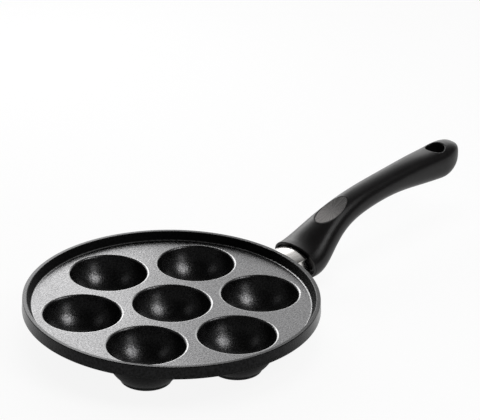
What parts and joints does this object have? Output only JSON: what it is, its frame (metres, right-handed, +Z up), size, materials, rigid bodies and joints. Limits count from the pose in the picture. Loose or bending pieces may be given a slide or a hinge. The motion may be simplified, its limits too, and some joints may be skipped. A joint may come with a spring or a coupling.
{
  "type": "aebleskiver pan",
  "caption": "Round cast pan with spherical wells for cooking ball-shaped pancakes, and a curved moulded handle with a thumb rest and a hanging hole.",
  "frame": {"origin": "the pan's centre on the plane that the well feet stand on, at the middle of the centre well's foot", "axes": "+X from the pan's centre along the handle, +Z up, out of the wells"},
  "size_m": [0.4443, 0.2314, 0.0658],
  "materials": {
    "pan_coating": "cast aluminium under a black non-stick coating with a fine satin grain",
    "ferrule_steel": "polished stainless steel with faint drawing lines along it",
    "handle_plastic": "black moulded phenolic, satin with a very fine grain",
    "pad_rubber": "dark grey soft-touch rubber, matt with fine swept lines",
    "screw_steel": "zinc-plated steel"
  },
  "bodies": {
    "root": {"pan_body": "pan_coating", "ferrule": "ferrule_steel", "handle_grip": "handle_plastic", "thumb_pad": "pad_rubber", "handle_screw": "screw_steel", "lock_washer": "screw_steel", "flat_washer": "screw_steel"}
  },
  "joints": []
}
